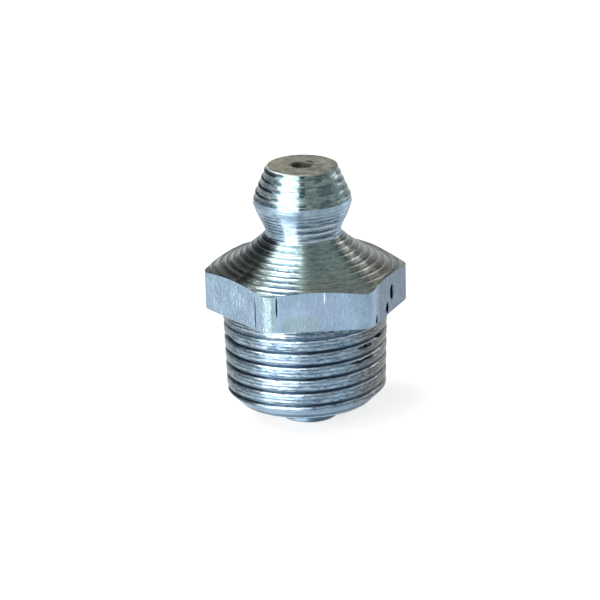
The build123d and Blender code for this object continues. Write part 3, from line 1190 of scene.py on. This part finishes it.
def make_spring(sizes):
    """A coil of round wire over the CAD spring's height."""
    low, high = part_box("ball_spring")
    wire = sizes.wire_radius
    rise = high[2] - low[2] - 2 * wire
    steps = STEPS_PER_TURN * sizes.spring_turns
    bm = bmesh.new()
    ring = bmesh.ops.create_circle(bm, segments=WIRE_SIDES, radius=wire)["verts"]
    bmesh.ops.rotate(bm, verts=ring, cent=(0, 0, 0), matrix=Matrix.Rotation(math.pi / 2, 3, "X"))
    bmesh.ops.translate(bm, verts=ring, vec=(sizes.spring_radius, 0, low[2] + wire))
    bmesh.ops.spin(
        bm, geom=bm.edges[:] + bm.verts[:], cent=(0, 0, 0), axis=(0, 0, 1), dvec=(0, 0, rise / steps),
        angle=2 * math.pi * sizes.spring_turns, steps=steps, use_merge=False, use_duplicate=False,
    )
    bmesh.ops.holes_fill(bm, edges=[e for e in bm.edges if len(e.link_faces) == 1], sides=0)
    bmesh.ops.recalc_face_normals(bm, faces=bm.faces)
    for face in bm.faces:
        face.smooth = True
    return add_piece("check_spring", bm), low[2]


class MESH_OT_ball_spring(bpy.types.Operator):
    """Adds the coil spring that holds the ball on its seat"""

    bl_idname = "mesh.ball_spring"
    bl_label = "Ball Spring"

    def execute(self, context):
        spring, foot = make_spring(context.scene.nipple_sizes)
        spring.data.materials.append(spring_finish())
        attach(spring, "housing")
        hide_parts("ball_spring")
        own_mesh(spring)
        return {"FINISHED"}


class MESH_OT_check_ball(bpy.types.Operator):
    """Finishes the check ball of the CAD frame"""

    bl_idname = "mesh.check_ball"
    bl_label = "Check Ball"

    def execute(self, context):
        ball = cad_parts["check_ball"]
        ball.data.materials.clear()
        ball.data.materials.append(ball_finish(context.scene.nipple_colours))
        return {"FINISHED"}


# ---------------- stage


def add_floor():
    bm = bmesh.new()
    bmesh.ops.create_grid(bm, x_segments=1, y_segments=1, size=FLOOR_SIZE)
    bmesh.ops.translate(bm, verts=bm.verts, vec=(0, 0, BOSS_END * MM))
    floor = add_piece("floor", bm)
    paper = Finish("floor_paper", 0.9, metallic=0.0)
    paper.colour = paper.mix(paper.grain(0.9), *PAPER_COLOURS)
    path = paper.node("ShaderNodeLightPath", {}).outputs
    reflected = paper.math("ADD", path["Is Glossy Ray"], path["Is Transmission Ray"])
    seen = paper.math("MINIMUM", paper.math("ADD", path["Is Camera Ray"], reflected), 1.0)
    paper.put((1, 1, 1), paper.shader.inputs["Emission Color"])
    paper.put(paper.both(seen, FLOOR_GLOW), paper.shader.inputs["Emission Strength"])
    paper.shader.inputs["Specular IOR Level"].default_value = 0.0
    floor.data.materials.append(paper.finish())


def direction(azimuth, elevation):
    """Unit vector towards a bearing and a height above level, both in radians."""
    across = math.cos(elevation)
    return Vector((math.sin(azimuth) * across, -math.cos(azimuth) * across, math.sin(elevation)))


def sky_band(sky, sine, angles, start, end):
    """Runs softly from start to end between two angles, given in degrees."""
    low, high = (math.sin(math.radians(angle)) for angle in angles)
    return sky.band(sine, low, high, start, end)


def add_world(scene, stage):
    """A studio that is white at the horizon, dimmer overhead and dark at one side."""
    world = bpy.data.worlds.new("studio")
    scene.world = world
    world.use_nodes = True
    sky = Nodes(world.node_tree)
    ray = sky.node("ShaderNodeTexCoord", {}).outputs["Generated"]
    height = sky.node("ShaderNodeSeparateXYZ", {0: ray}).outputs["Z"]
    level = sky_band(sky, height, SKY_FADE, SKY_HORIZON, SKY_ABOVE)
    bearing, elevation = (math.radians(angle) for angle in CURTAIN_PLACE)
    middle = direction(stage.azimuth + bearing, elevation)
    towards = sky.node("ShaderNodeVectorMath", {0: ray, 1: middle}, operation="DOT_PRODUCT").outputs["Value"]
    curtain = sky_band(sky, towards, CURTAIN_FADE, 1.0, CURTAIN_LIGHT)
    camera_ray = sky.node("ShaderNodeLightPath", {}).outputs["Is Camera Ray"]
    background = world.node_tree.nodes["Background"].inputs
    sky.put(sky.math("MAXIMUM", sky.both(level, curtain), camera_ray), background["Strength"])
    sky.put((1, 1, 1), background["Color"])


def add_lamps(stage):
    for name, (bearing, elevation, distance, width, height, power) in LAMPS.items():
        data = bpy.data.lights.new(name, "AREA")
        data.shape = "RECTANGLE"
        data.size, data.size_y = width, height
        data.energy = power
        lamp = bpy.data.objects.new(name, data)
        back = direction(stage.azimuth + math.radians(bearing), math.radians(elevation))
        lamp.location = back * distance
        lamp.rotation_euler = back.to_track_quat("Z", "Y").to_euler()
        bpy.context.scene.collection.objects.link(lamp)


def add_camera(scene, stage):
    data = bpy.data.cameras.new("camera")
    data.sensor_width = SENSOR_WIDTH
    data.lens = stage.lens
    data.clip_start, data.clip_end = CLIP_RANGE
    camera = bpy.data.objects.new("camera", data)
    scene.collection.objects.link(camera)
    scene.camera = camera
    back = direction(stage.azimuth, stage.elevation)
    level = Vector((math.cos(stage.azimuth), math.sin(stage.azimuth), 0))
    upright = back.cross(level)
    sine, cosine = math.sin(stage.roll), math.cos(stage.roll)
    right, up = level * cosine - upright * sine, level * sine + upright * cosine
    aim = Vector((0, 0, AIM_HEIGHT)) + right * AIM_SHIFT[0] + up * AIM_SHIFT[1]
    turned = Matrix((right, up, back)).transposed().to_4x4()
    camera.matrix_world = Matrix.Translation(aim * MM + back * stage.distance) @ turned


class SCENE_OT_nipple_stage(bpy.types.Operator):
    """Adds the floor, the soft lights and the camera"""

    bl_idname = "scene.nipple_stage"
    bl_label = "Stage"

    def execute(self, context):
        stage = context.scene.nipple_stage
        add_floor()
        add_world(context.scene, stage)
        add_lamps(stage)
        add_camera(context.scene, stage)
        context.scene.view_settings.view_transform = "Standard"
        return {"FINISHED"}


class VIEW3D_PT_grease_nipple(bpy.types.Panel):
    """Lists the operators that add the nipple's pieces and its stage"""

    bl_label = "Grease Nipple"
    bl_space_type = "VIEW_3D"
    bl_region_type = "UI"
    bl_category = "Nipple"

    def draw(self, context):
        for operator in OPERATORS:
            self.layout.operator(operator.bl_idname)


OPERATORS = (MESH_OT_nipple_body, MESH_OT_ball_spring, MESH_OT_check_ball, SCENE_OT_nipple_stage)
CLASSES = (NippleSizes, NippleColours, StageSettings, *OPERATORS, VIEW3D_PT_grease_nipple)


def register():
    for cls in CLASSES:
        bpy.utils.register_class(cls)
    bpy.types.Scene.nipple_sizes = PointerProperty(type=NippleSizes)
    bpy.types.Scene.nipple_colours = PointerProperty(type=NippleColours)
    bpy.types.Scene.nipple_stage = PointerProperty(type=StageSettings)


def unregister():
    del bpy.types.Scene.nipple_stage
    del bpy.types.Scene.nipple_colours
    del bpy.types.Scene.nipple_sizes
    for cls in reversed(CLASSES):
        bpy.utils.unregister_class(cls)


def main():
    register()
    bpy.ops.mesh.nipple_body()
    bpy.ops.mesh.ball_spring()
    bpy.ops.mesh.check_ball()
    bpy.ops.scene.nipple_stage()


if __name__ == "__main__":
    main()
